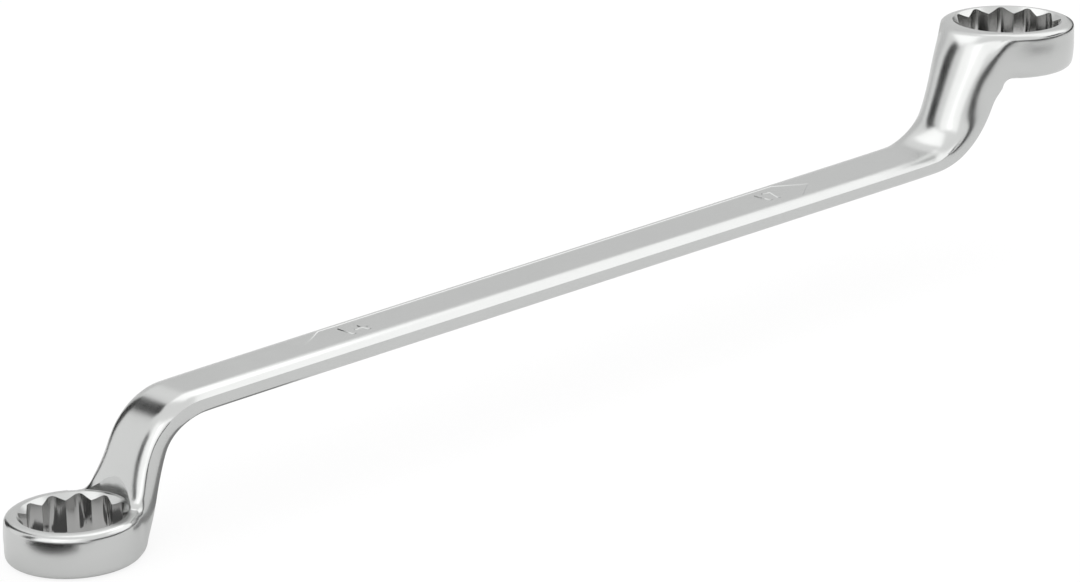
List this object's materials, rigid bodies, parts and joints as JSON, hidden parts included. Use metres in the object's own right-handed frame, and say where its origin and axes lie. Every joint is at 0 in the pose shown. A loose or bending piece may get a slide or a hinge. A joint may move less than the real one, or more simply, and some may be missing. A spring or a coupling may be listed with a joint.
{
  "type": "ring spanner",
  "caption": "Double ended ring spanner with deep cranked necks and twelve-point rings of two sizes, in satin chrome over a steel forging.",
  "frame": {"origin": "middle of the bounding box's lowest face, which is the plane of the small ring's lower face", "axes": "+Z along both ring axes, +X along the shank from the small, lower ring to the large, upper ring, +Y across the shank"},
  "size_m": [0.241, 0.0246, 0.0404],
  "materials": {
    "satin_chrome": "satin chrome plate over a forged, ground and fine blasted steel surface"
  },
  "bodies": {
    "root": {"small_ring": "satin_chrome", "small_end_neck": "satin_chrome", "shank": "satin_chrome", "large_end_neck": "satin_chrome", "large_ring": "satin_chrome"}
  },
  "joints": []
}
